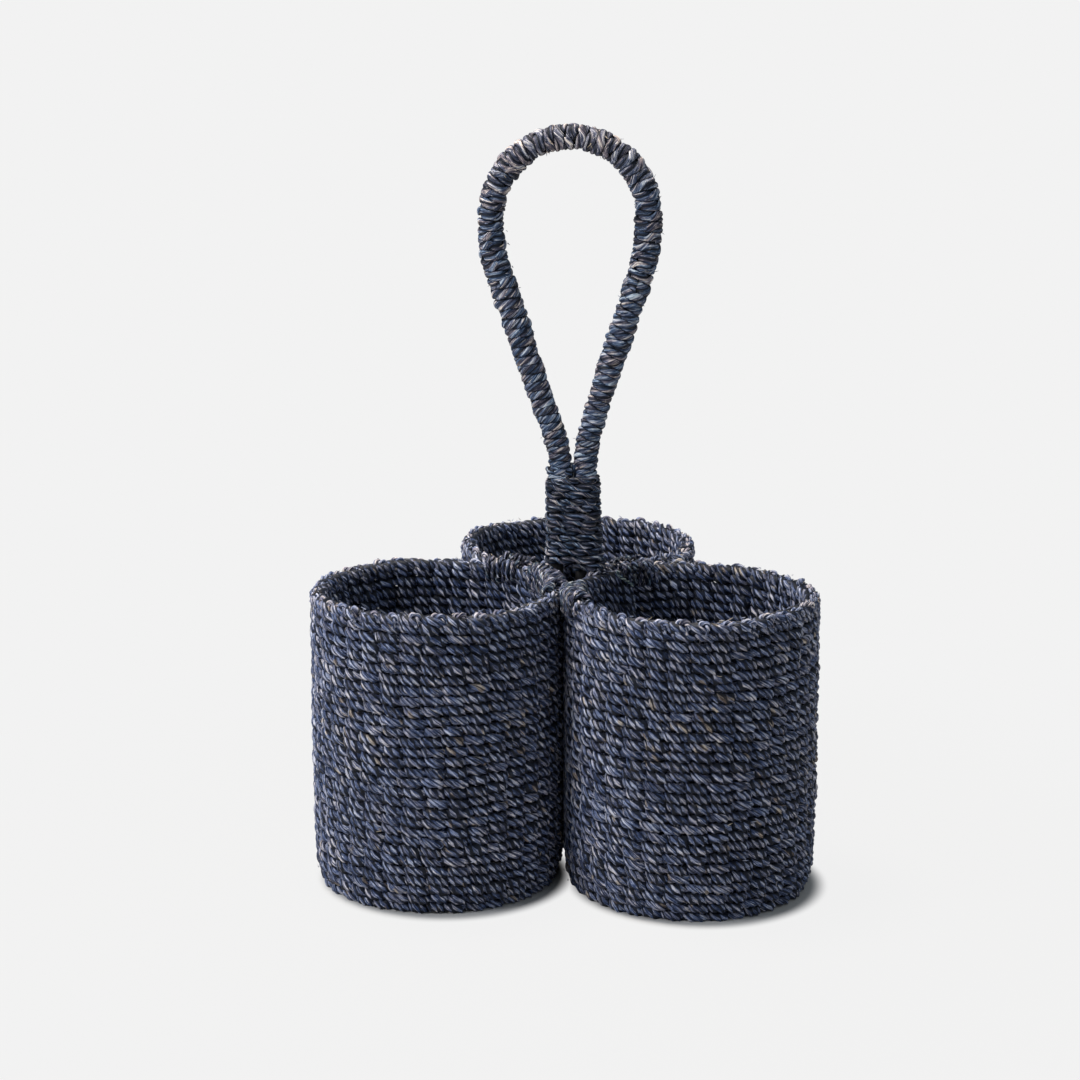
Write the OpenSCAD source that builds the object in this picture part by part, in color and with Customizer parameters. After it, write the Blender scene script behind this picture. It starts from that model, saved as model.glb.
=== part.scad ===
// Carrier with three round woven pockets, lashed together round a bound loop handle.
// Millimetres, +Z up, the front pockets at -Y, the origin on the ground under the middle.

/* [Pockets] */
// Outside diameter of a pocket
pocket_d = 120; // [110:1:132]
// Height of a pocket, from the ground to the top of its rim
pocket_h = 144; // [120:1:180]
// Thickness of the woven wall
wall_t = 8; // [7.6:0.2:9]
// Gap between neighbouring pockets
pocket_gap = 0.4; // [0.3:0.1:0.8]

/* [Weaving] */
// Thickness of one course of weft
course_d = 5.8; // [5.4:0.1:6.4]
// Height from one course to the next, before the courses are spread evenly
course_pitch = 4.8; // [4.4:0.1:5.2]
// How far the lowest course is drawn in under the wall
foot_tuck = 2.6; // [1.5:0.1:3.2]
// How deep the lowest course is pressed flat on the ground
foot_flat = 0.5; // [0.4:0.1:0.8]
// Thickness of one round of weft in the floor
round_d = 5.2; // [4.6:0.1:5.6]
// Distance from one round of the floor to the next
round_pitch = 4.6; // [4:0.1:5]
// Height of the floor's middle plane
floor_z = 3.2; // [3:0.1:3.6]

/* [Stakes] */
// Thickness of a stake
stake_d = 3; // [2.6:0.1:3.2]
// Distance that a stake end is carried along the rim before it is pushed down
fold_span = 6.2; // [5.8:0.1:6.4]
// Length of stake end that is pushed down into the wall
fold_tuck = 5; // [4:0.5:8]

/* [Handle] */
// Thickness of the bare core
core_d = 6.4; // [5.6:0.1:7]
// Distance between the two legs, middle to middle
leg_spacing = 12.2; // [12:0.1:13]
// Height from the rims to the start of the bends
post_h = 48; // [42:1:60]
// Radius of the bend where the legs part
part_r = 70; // [50:1:90]
// Lean of the straight part of a leg, in degrees
leg_lean = 18; // [15:1:20]
// Radius of the bend below the crown
side_r = 104; // [90:1:130]
// Radius of the crown
crown_r = 36.9; // [34:0.1:44]
// Height of the lower ends of the legs
leg_end_z = 16; // [8:1:24]

/* [Binding] */
// Outside diameter of the binding where the legs part
leg_bound_d = 11.4; // [10.8:0.1:11.6]
// Outside diameter of the binding on the sides of the loop
side_bound_d = 14.6; // [13:0.1:16]
// Outside diameter of the binding on the crown
crown_bound_d = 12.6; // [12:0.1:15]
// Room taken by one turn where the legs part
leg_pitch = 3.5; // [3.2:0.1:3.9]
// Thickness of the cord round the post
post_cord = 4.2; // [3.4:0.1:4.6]
// How much wider the binding of the post is at its lower end
post_flare = 1.3; // [0:0.1:2]
// Gap between neighbouring turns of cord or twine
cord_gap = 0.6; // [0.5:0.1:0.8]

/* [Ties] */
// Thickness of the tying twine
tie_d = 2.2; // [1.8:0.1:2.3]
// Height of the lower run of a foot tie
foot_tie_z = 15; // [12:1:24]
// Height of a foot tie
foot_tie_h = 12; // [8:1:20]
// Height of the lower leg ties
leg_tie_z = 42; // [36:1:60]
// Distance of the upper leg ties below the rim
leg_tie_drop = 26; // [20:1:40]
// Height between the leg ties of the front pockets and those of the back pocket
leg_tie_step = 6; // [4:0.5:10]

/* [Hidden] */

// Clearances
fit = 0.1;              // a rod in its hole, all round
seat = 0.3;             // a piece that lies on another
tie_fit = 0.2;          // twine in its hole, all round
hole_web = 0.6;         // stuff left between two holes
over = 2;               // cutters run this far past the faces they cut
grain = 0.01;           // stitches are sized in steps of this, so that runs and corners meet

// Pockets stand in a triangle round the handle's gap. In the frame of each, its +X points at the
// next pocket round, its other neighbour lies at contact_turn, and the handle at about middle_turn
first_turn = 210;
left_turn = 0;
right_turn = 120;
back_turn = 240;
contact_turn = 60;
middle_turn = contact_turn / 2;
pocket_r = pocket_d / 2;
wall_in_r = pocket_r - wall_t;
spacing = pocket_d + pocket_gap;
gap_r = spacing / sqrt(3);
gap_y = -gap_r / 4;

// Stakes: ten degrees apart, so that the ties pass between them
stake_count = 36;
stake_step = 360 / stake_count;
stake_r = pocket_r - wall_t / 2;
fold_r = fold_span / 2;
fold_z = pocket_h - fold_r - stake_d / 2;
fold_turn = 4;
first_stake_course = 2;

// Courses of weft, spread evenly from the ground to the rim's folds
course_r = course_d / 2;
first_course_z = course_r - foot_flat;
last_course_z = fold_z - course_r;
course_count = round((last_course_z - first_course_z) / course_pitch) + 1;
course_step = (last_course_z - first_course_z) / (course_count - 1);
foot_courses = 3;
stake_z = first_course_z + first_stake_course * course_step;
function course_z(i) = first_course_z + i * course_step;
function drawn_in(i) = foot_tuck * pow(max(0, 1 - i / foot_courses), 2);

// Rounds of the floor, from its edge towards its middle
round_r = round_d / 2;
floor_r = wall_in_r - foot_tuck - seat;
round_count = floor((floor_r - round_d) / round_pitch) + 1;
function round_at(i) = floor_r - round_r - i * round_pitch;

// Handle: the middle line of the core goes up one leg, over the crown and down the other
core_r = core_d / 2;
leg_x = leg_spacing / 2;
leg_dir = middle_turn + stake_step / 2;
leg_y = tan(leg_dir) * (spacing / 2 - leg_x) - gap_r / 2;
handle_y = gap_y + leg_y;
parting_z = pocket_h + post_h;
leg_run = (crown_r - leg_x - (part_r + side_r) * (1 - cos(leg_lean))) / sin(leg_lean);
part_len = part_r * leg_lean * PI / 180;
side_len = side_r * leg_lean * PI / 180;
crown_len = crown_r * PI / 2;
leg_len = part_len + leg_run;
half_len = leg_len + side_len + crown_len;
part_x = leg_x + part_r * (1 - cos(leg_lean));
part_z = parting_z + part_r * sin(leg_lean);
side_x = part_x + leg_run * sin(leg_lean);
side_z = part_z + leg_run * cos(leg_lean);
crown_z = side_z + side_r * sin(leg_lean);
core_sides = 16;
bend_steps = 4;
crown_steps = 12;

// Binding: fine turns where the legs part, coarser ones up to the crown
leg_turns = 22;
bow_turns = 19;
post_turns = 12;
flare_turns = 3;
turn_rings = 8;
post_bend_rings = 4;
cord_sides = 5;
flat_share = cos(180 / cord_sides);
chord_share = cos(180 / turn_rings);
turn_growth = 2 * (leg_len / leg_turns - leg_pitch);
bow_pitch = (half_len - leg_len) / bow_turns;
half_turns = leg_turns + bow_turns;

// Ties
tie_r = tie_d / 2;
tie_hole_r = tie_r + tie_fit;
tie_bend = tie_d;
stake_gap = 2 * stake_r * sin(stake_step / 2);
tie_turn = (tie_d + cord_gap) / 2;
rim_tie_at = [tie_turn - stake_gap, -tie_turn, tie_turn, stake_gap - tie_turn];
rim_tie_z = fold_z - fold_tuck - fit - hole_web - tie_hole_r;
rim_tie_top = pocket_h + tie_fit + tie_r;
rim_tie_reach = tie_reach(stake_gap - tie_turn);
leg_tie_r = core_r + seat + tie_r;
// How far from the line where two pockets touch the twine lies inside them
function tie_reach(v) = spacing / 2 - sqrt(pow(wall_in_r, 2) - pow(v + tie_r, 2)) + seat + tie_r;

// A piece in the frame of one pocket
module at_pocket(turn)
    translate([gap_r * cos(first_turn + turn), gap_y + gap_r * sin(first_turn + turn), 0])
        rotate(turn) children();

// Wall, floor and stakes of a pocket
module wall_profile() {
    for (i = [0 : course_count - 1]) {
        translate([pocket_r - course_r - drawn_in(i), course_z(i)]) circle(course_r, $fn = 48);
        translate([wall_in_r + course_r - drawn_in(i), course_z(i)]) circle(course_r, $fn = 48);
    }
    polygon([
        for (i = [0 : course_count - 1]) [pocket_r - course_r - drawn_in(i), course_z(i)],
        for (i = [course_count - 1 : -1 : 0]) [wall_in_r + course_r - drawn_in(i), course_z(i)]
    ]);
}

module wall_hole(v, z)
    translate([wall_in_r - over, v, z])
        rotate([0, 90, 0]) cylinder(r = tie_hole_r, h = wall_t + 2 * over, $fn = 24);

// Stake places in a pocket, with +Y along the rim the way the ends are folded
module at_stakes()
    for (i = [0 : stake_count - 1])
        rotate((i + 1 / 2) * stake_step) translate([stake_r, 0, 0]) rotate(-fold_turn) children();

// leg_holes: direction and half width of the tie that holds the handle, and its drop
module wall(leg_hole_dir, leg_hole_v, leg_hole_drop) {
    color("#3c4258")
    difference() {
        rotate_extrude($fn = 144) intersection() {
            wall_profile();
            square([pocket_d, pocket_h]);
        }
        at_stakes() {
            translate([0, 0, stake_z - fit])
                cylinder(r = stake_d / 2 + fit, h = pocket_h, $fn = 24);
            translate([0, fold_span, fold_z - fold_tuck - fit])
                cylinder(r = stake_d / 2 + fit, h = pocket_h, $fn = 24);
        }
        for (a = [0, contact_turn]) rotate(a) {
            for (v = rim_tie_at) wall_hole(v, rim_tie_z);
            wall_hole(0, foot_tie_z);
            wall_hole(0, foot_tie_z + foot_tie_h);
        }
        rotate(leg_hole_dir)
            for (v = [-leg_hole_v, leg_hole_v], z = [leg_tie_z, pocket_h - leg_tie_drop])
                wall_hole(v, z - leg_hole_drop);
    }
}

module woven_floor() {
    color("#3c4258")
    rotate_extrude($fn = 96) {
        for (i = [0 : round_count - 1])
            translate([round_at(i), floor_z]) circle(round_r, $fn = 36);
        translate([0, floor_z - round_r / 2]) square([round_at(0), round_r]);
    }
}

module stakes() {
    color("#454a5e")
    at_stakes() {
        translate([0, 0, fold_z]) mirror([0, 0, 1]) cylinder(d = stake_d, h = fold_z - stake_z, $fn = 24);
        translate([0, fold_r, fold_z]) rotate([90, 0, 90])
            rotate_extrude(angle = 180, $fn = 48) translate([fold_r, 0]) circle(d = stake_d, $fn = 24);
        translate([0, fold_span, fold_z]) mirror([0, 0, 1]) cylinder(d = stake_d, h = fold_tuck, $fn = 24);
    }
}

// Middle line of the right half of the loop, q along it from where the legs part: [x, z, heading]
function half_line(q) =
    q < part_len ? let (h = q / part_r * 180 / PI)
        [leg_x + part_r * (1 - cos(h)), parting_z + part_r * sin(h), h]
    : q < leg_len ? let (d = q - part_len)
        [part_x + d * sin(leg_lean), part_z + d * cos(leg_lean), leg_lean]
    : q < leg_len + side_len ? let (h = leg_lean - (q - leg_len) / side_r * 180 / PI)
        [side_x + side_r * (cos(h) - cos(leg_lean)), side_z + side_r * (sin(leg_lean) - sin(h)), h]
    : let (h = (q - leg_len - side_len) / crown_r * 180 / PI)
        [crown_r * cos(h), crown_z + crown_r * sin(h), -h];

// Core: one rod, swept up a leg, over the crown and down the other
core_steps = [
    for (i = [0 : bend_steps]) part_len * i / bend_steps,
    for (i = [0 : bend_steps]) leg_len + side_len * i / bend_steps,
    for (i = [1 : crown_steps]) leg_len + side_len + crown_len * i / crown_steps
];
function core_ring(p, s) =
    [for (j = [0 : core_sides - 1])
        let (a = 360 * j / core_sides, r = core_r * cos(a))
        [s * (p[0] + r * cos(p[2])), handle_y - core_r * sin(a), p[1] - r * sin(p[2])]];
module handle_core() {
    half = concat([[leg_x, leg_end_z, 0]], [for (q = core_steps) half_line(q)]);
    last = len(half) - 1;
    color("#3b352f")
    tube([
        for (i = [0 : last]) core_ring(half[i], 1),
        for (i = [last - 1 : -1 : 0]) core_ring(half[i], -1)
    ]);
}

// Distance along half the loop after n turns, and the binding's outside radius there
function turn_q(n) = n < leg_turns
    ? leg_pitch * n + turn_growth * n * n / (2 * leg_turns)
    : leg_len + (n - leg_turns) * bow_pitch;
function bound_r(q) = q < leg_len
    ? (leg_bound_d + (side_bound_d - leg_bound_d) * q / leg_len) / 2
    : (side_bound_d + (crown_bound_d - side_bound_d) * pow((q - leg_len) / (half_len - leg_len), 2)) / 2;

// Half the cord's thickness, so that a turn of few sides clears the core and reaches bound_r
function cord_half(outer_r) = (outer_r - (core_r + fit) / chord_share) / (1 + flat_share);

// Turn n of the whole loop, from the left leg: [place, outward direction, core's direction]
function on_loop(n) =
    let (left_side = n < half_turns,
         m = left_side ? n : 2 * half_turns - n,
         q = turn_q(m),
         p = half_line(q),
         s = left_side ? 1 : -1,
         along = [-sin(p[2]), 0, s * cos(p[2])],
         out = [-along[2], 0, along[0]],
         dir = sin(360 * n) * out - cos(360 * n) * [0, 1, 0],
         r = bound_r(q) - cord_half(bound_r(q)))
    [[-s * p[0], handle_y, p[1]] + r * dir, dir, along, cord_half(bound_r(q))];

// A ring of the cord: as wide as its neighbours leave room for
function loop_ring(n, shift) =
    let (c = on_loop(n),
         room = min(norm(on_loop(n + 1)[0] - c[0]), norm(c[0] - on_loop(n - 1)[0])))
    cord_ring(c[0] + shift, c[2] * (room - cord_gap) / 2, c[1] * c[3]);
function cord_ring(centre, across, out) =
    [for (j = [0 : cord_sides - 1])
        let (a = 90 + 360 * j / cord_sides) centre + cos(a) * across + sin(a) * out];

// Turns n0 to n1: the last stretch at each end runs straight, one cord thickness long
function loop_binding(n0, n1) =
    let (step = 1 / turn_rings,
         run0 = heading(n0) * 2 * on_loop(n0)[3],
         run1 = heading(n1) * 2 * on_loop(n1)[3],
         gap0 = heading(n0) * seat / 2,
         gap1 = heading(n1) * seat / 2)
    [
        loop_ring(n0, gap0),
        loop_ring(n0, gap0 + run0),
        for (i = [2 : (n1 - n0) * turn_rings - 2]) loop_ring(n0 + i * step, [0, 0, 0]),
        loop_ring(n1, -gap1 - run1),
        loop_ring(n1, -gap1)
    ];
function heading(n) = let (c = on_loop(n)) cross(c[1], c[2]);

// Post: turns round both legs, with their ends in the straight runs in front
post_pitch = (post_h - seat + cord_gap / 2) / (post_turns + 3 / 2);
post_low = pocket_h + seat + (post_pitch - cord_gap) / 2;
post_across = [0, 0, -(post_pitch - cord_gap) / 2];
function post_ring(i) =
    let (rings = 2 * (post_bend_rings + 1),
         k = i % rings,
         right_side = k <= post_bend_rings,
         a = right_side ? 180 * k / post_bend_rings - 90 : 180 * (k - 1) / post_bend_rings - 90,
         dir = [cos(a), sin(a), 0],
         n = i / rings)
    cord_ring([right_side ? leg_x : -leg_x, handle_y, post_low + n * post_pitch]
              + post_reach(n) * dir, post_across, dir * post_cord / 2);
function post_reach(n) = core_r / chord_share + fit + post_cord / 2
    + post_flare * pow(max(0, 1 - n / flare_turns), 2);
function post_end(n) =
    cord_ring([0, handle_y - post_reach(n), post_low + n * post_pitch],
              post_across, [0, -post_cord / 2, 0]);

// Rim tie: up inside one pocket, over both rims, down inside the other and back through the walls
function rim_tie_path() =
    let (a = rim_tie_reach, c = tie_bend / 2, z0 = rim_tie_z, z1 = rim_tie_top, last = len(rim_tie_at) - 1)
    [
        [-a - tie_d, rim_tie_at[0], z0],
        for (k = [0 : last - 1]) let (v = rim_tie_at[k], w = rim_tie_at[k + 1]) each [
            [a - c, v, z0], [a, v, z0 + c], [a, v, z1 - c], [a - c, v, z1],
            [c - a, w, z1], [-a, w, z1 - c], [-a, w, z0 + c], [c - a, w, z0]
        ],
        [a - c, rim_tie_at[last], z0], [a, rim_tie_at[last], z0 + c], [a, rim_tie_at[last], z1]
    ];
function unit(v) = v / norm(v);
function path_rings(path, r) =
    [for (i = [0 : len(path) - 1])
        let (d = unit(path[min(i + 1, len(path) - 1)] - path[max(i - 1, 0)]),
             across = unit([0, 1, 0] - d[1] * d))
        cord_ring(path[i], across * r, cross(across, d) * r)];

// A tube through a list of rings, closed at both ends
module tube(rings) {
    n = len(rings[0]);
    m = len(rings);
    polyhedron([for (r = rings) each r], [
        for (i = [0 : m - 2], j = [0 : n - 1]) each [
            [i * n + j, i * n + (j + 1) % n, (i + 1) * n + j],
            [i * n + (j + 1) % n, (i + 1) * n + (j + 1) % n, (i + 1) * n + j]
        ],
        for (j = [1 : n - 2]) [0, j + 1, j],
        for (j = [1 : n - 2]) [(m - 1) * n, (m - 1) * n + j, (m - 1) * n + j + 1]
    ]);
}

// Least distance between the points of each turn and those of the next
function least_gap(rings, per_turn) = min([
    for (i = [0 : len(rings) - per_turn - 2], k = [per_turn - 1 : per_turn + 1],
         p = rings[i], q = rings[i + k]) norm(p - q)]);

module loop_cord(n0, n1, name) {
    rings = loop_binding(n0, n1);
    echo(str(name, " turns ", n1 - n0, ", least gap ", least_gap(rings, turn_rings)));
    color("#4a5068") tube(rings);
}
module left_leg_binding() loop_cord(0, leg_turns, "left_leg_binding");
module left_bow_binding() loop_cord(leg_turns, half_turns, "left_bow_binding");
module right_bow_binding() loop_cord(half_turns, half_turns + bow_turns, "right_bow_binding");
module right_leg_binding() loop_cord(half_turns + bow_turns, 2 * half_turns, "right_leg_binding");

module post_binding() {
    per_turn = 2 * (post_bend_rings + 1);
    rings = [
        post_end(0),
        for (i = [0 : post_turns * per_turn - 1]) post_ring(i),
        post_end(post_turns)
    ];
    echo(str("post_binding turns ", post_turns, ", least gap ", least_gap(rings, per_turn)));
    color("#4a5068") tube(rings);
}

module rim_tie() {
    rings = path_rings(rim_tie_path(), tie_r);
    echo(str("rim_tie turns ", len(rim_tie_at), ", least gap ", least_gap(rings, 8)));
    color("#565c74") translate([spacing / 2, 0, 0]) tube(rings);
}

// A closed stitch in the XY plane, from x0 to x1, half_w to each side, with round corners
function snap(v) = round(v / grain) * grain;
module stitch(x0, x1, half_w, near_r, far_r) {
    module run(p, a, len)
        if (len > 0) translate([p[0], p[1], 0]) rotate([0, 90, a])
            cylinder(r = tie_r, h = len, $fn = 24);
    module corner(p, r, a)
        translate([p[0], p[1], 0]) rotate(a)
            rotate_extrude(angle = 90, $fn = 72) translate([r, 0]) circle(tie_r, $fn = 24);
    for (m = [0, 1]) mirror([0, m, 0]) {
        run([x0 + near_r, half_w], 0, x1 - x0 - near_r - far_r);
        corner([x0 + near_r, half_w - near_r], near_r, 90);
        corner([x1 - far_r, half_w - far_r], far_r, 0);
    }
    run([x0, near_r - half_w], 90, 2 * (half_w - near_r));
    run([x1, far_r - half_w], 90, 2 * (half_w - far_r));
}

module foot_tie() {
    a = snap(tie_reach(0));
    color("#565c74")
    translate([spacing / 2, 0, foot_tie_z + foot_tie_h / 2]) rotate([90, 0, 0])
        stitch(-a, a, foot_tie_h / 2, tie_bend, tie_bend);
}

// Leg ties of a pocket: through its wall and round what stands at distance far, at two heights
module leg_tie(dir, far, half_w, drop) {
    near = snap(sqrt(pow(wall_in_r, 2) - pow(half_w + tie_r, 2)) - seat - tie_r);
    color("#565c74")
    rotate(dir)
        for (z = [leg_tie_z, pocket_h - leg_tie_drop])
            translate([0, 0, z - drop])
                stitch(near, snap(far) + leg_tie_r, half_w, tie_bend, leg_tie_r);
}
front_leg_far = (spacing / 2 - leg_x) / cos(leg_dir);
back_leg_far = gap_r - leg_y;
back_tie_v = leg_x + leg_tie_r;

module left_floor() at_pocket(left_turn) woven_floor();
module left_wall() at_pocket(left_turn) wall(leg_dir, leg_tie_r, 0);
module left_stakes() at_pocket(left_turn) stakes();
module right_floor() at_pocket(right_turn) woven_floor();
module right_wall() at_pocket(right_turn) wall(contact_turn - leg_dir, leg_tie_r, 0);
module right_stakes() at_pocket(right_turn) stakes();
module back_floor() at_pocket(back_turn) woven_floor();
module back_wall() at_pocket(back_turn) wall(middle_turn, back_tie_v, leg_tie_step);
module back_stakes() at_pocket(back_turn) stakes();
module front_rim_tie() at_pocket(left_turn) rim_tie();
module right_rim_tie() at_pocket(right_turn) rim_tie();
module left_rim_tie() at_pocket(back_turn) rim_tie();
module front_foot_tie() at_pocket(left_turn) foot_tie();
module right_foot_tie() at_pocket(right_turn) foot_tie();
module left_foot_tie() at_pocket(back_turn) foot_tie();
module left_leg_tie() at_pocket(left_turn) leg_tie(leg_dir, front_leg_far, leg_tie_r, 0);
module right_leg_tie() at_pocket(right_turn) leg_tie(contact_turn - leg_dir, front_leg_far, leg_tie_r, 0);
module back_leg_tie() at_pocket(back_turn) leg_tie(middle_turn, back_leg_far, back_tie_v, leg_tie_step);

left_floor();
left_wall();
left_stakes();
right_floor();
right_wall();
right_stakes();
back_floor();
back_wall();
back_stakes();
handle_core();
left_leg_binding();
left_bow_binding();
right_bow_binding();
right_leg_binding();
post_binding();
front_rim_tie();
right_rim_tie();
left_rim_tie();
front_foot_tie();
right_foot_tie();
left_foot_tie();
left_leg_tie();
right_leg_tie();
back_leg_tie();
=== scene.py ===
import math
import bpy
import numpy as np
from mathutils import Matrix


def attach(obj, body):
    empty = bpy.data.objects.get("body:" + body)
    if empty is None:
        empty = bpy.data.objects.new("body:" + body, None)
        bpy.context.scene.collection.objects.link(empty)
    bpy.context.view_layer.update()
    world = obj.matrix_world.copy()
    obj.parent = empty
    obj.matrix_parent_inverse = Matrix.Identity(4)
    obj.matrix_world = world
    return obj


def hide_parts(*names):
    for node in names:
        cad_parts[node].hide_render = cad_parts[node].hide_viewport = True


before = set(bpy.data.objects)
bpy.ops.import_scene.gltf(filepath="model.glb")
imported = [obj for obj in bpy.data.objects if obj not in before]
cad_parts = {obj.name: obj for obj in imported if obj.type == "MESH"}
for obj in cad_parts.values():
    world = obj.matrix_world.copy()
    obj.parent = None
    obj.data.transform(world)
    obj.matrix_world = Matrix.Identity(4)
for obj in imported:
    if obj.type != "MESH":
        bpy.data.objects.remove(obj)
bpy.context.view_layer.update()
print("frame loaded")

# Sizes are in millimetres here, as in the part's source, and become metres when a mesh is made
mm = 0.001
upright = np.array([0, 0, 1.0])
pocket = {
    "diameter": 120, "height": 144, "wall": 8, "gap": 0.4,
    "names": ["left", "right", "back"], "stakes": 36, "bulge": 0.5,
}
names = pocket["names"]
spacing = pocket["diameter"] + pocket["gap"]
gapRadius = spacing / math.sqrt(3)
gapY = -gapRadius / 4
stakeRadius = pocket["diameter"] / 2 - pocket["wall"] / 2
stakeStep = 2 * math.pi / pocket["stakes"]


def pocketTurn(k):
    return math.radians(120 * k)


def pocketCentre(k):
    # the three pockets stand on a circle round the handle's gap, 120 degrees apart
    angle = math.radians(210 + 120 * k)
    return np.array([gapRadius * math.cos(angle), gapY + gapRadius * math.sin(angle), 0])


def smooth(t):
    t = np.clip(t, 0, 1)
    return t * t * (3 - 2 * t)


def smoothRandom(seed, at, reach):
    # random values from -1 to 1, one every reach, joined by smooth steps and read at each place
    at = np.asarray(at, float) - np.min(at)
    values = np.random.default_rng(seed).uniform(-1, 1, int(at.max() / reach) + 3)
    k = np.floor(at / reach).astype(int)
    return values[k] + (values[k + 1] - values[k]) * smooth(at / reach - k)


def unit(v):
    return v / np.linalg.norm(v, axis=-1, keepdims=True)


def outwards(angle):
    return np.stack([np.cos(angle), np.sin(angle), 0 * angle], -1)


def varied(amount, seed, at, reach):
    # a thickness that wanders about 1 by the amount
    return 1 + amount * smoothRandom(seed, at, reach)


def squared(angle, power):
    # cosine and sine whose circle is pushed out towards a square
    c, s = np.cos(angle), np.sin(angle)
    return np.sign(c) * abs(c) ** power, np.sign(s) * abs(s) ** power


def lengthAlong(path):
    # the sum of the steps from each point of a path to the next
    steps = np.linalg.norm(np.diff(path, axis=-2), axis=-1)
    return np.concatenate([np.zeros_like(steps[..., :1]), np.cumsum(steps, axis=-1)], axis=-1)


def framed(path, side):
    # at each point of a path: the direction nearest to side, and the one square to it and to the path
    along = unit(np.gradient(path, axis=-2))
    up = unit(np.cross(along, side))
    return np.cross(up, along), up


def plySection(count, apart, plies=2):
    # round plies about the middle: from it, apart times the cosine of the angle to the nearest ply
    # plus the rest of the ply that the sine leaves, so the outline is 1 at the crests and nipped
    # between them; the last value is the tone that each ply has of its own
    angle = np.arange(count) * 2 * math.pi / count
    nearest = (angle + math.pi / plies) % (2 * math.pi / plies) - math.pi / plies
    ply = 1 - apart
    reach = apart * np.cos(nearest) + np.sqrt(np.maximum(ply ** 2 - (apart * np.sin(nearest)) ** 2, 0))
    return angle, reach, 0.5 + 0.5 * np.clip(1.4 * np.cos(angle - 0.45 * (plies > 2)), -1, 1)


def twisted(path, lobe, seed, spread=0.18, plies=2):
    # S twist: each lobe's length turns the cord back by one ply; the length varies along the cord
    run = lengthAlong(path)
    pace = varied(spread, seed, run, 14.0) / lobe
    return -2 * math.pi / plies * np.cumsum(pace * np.gradient(run, axis=-1), axis=-1)


def meshPiece(name, points, quads, tris, attributes):
    mesh = bpy.data.meshes.new(name)
    corners = np.concatenate([quads.ravel(), tris.ravel()]).astype(np.int32)
    starts = np.concatenate([np.arange(len(quads)) * 4, len(quads) * 4 + np.arange(len(tris)) * 3])
    mesh.vertices.add(len(points))
    mesh.vertices.foreach_set("co", (points * mm).astype(np.float32).ravel())
    mesh.loops.add(len(corners))
    mesh.loops.foreach_set("vertex_index", corners)
    mesh.polygons.add(len(starts))
    mesh.polygons.foreach_set("loop_start", starts.astype(np.int32))
    mesh.polygons.foreach_set("use_smooth", np.ones(len(starts), bool))
    mesh.update(calc_edges=True)
    for key, (kind, field, values) in attributes.items():
        layer = mesh.attributes.new(key, kind, "POINT")
        layer.data.foreach_set(field, values.astype(np.float32).ravel())
    piece = bpy.data.objects.new(name, mesh)
    bpy.context.scene.collection.objects.link(piece)
    return piece


# Waves round a cord, each with the length in which it turns once along the cord; how far from a
# turn's middle the painted shade of its groove begins and how wide it is, in shares of its room; the shade
# mask and ply at an end
cordForm = {
    "waves": ((3, 23.0), (5, -17.0), (8, 11.0), (11, -29.0)), "start": 900, "grooveShadeAt": 0.40,
    "grooveShadeWide": 0.11, "endCrestShade": 0.3, "endPly": 0.5,
}


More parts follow.
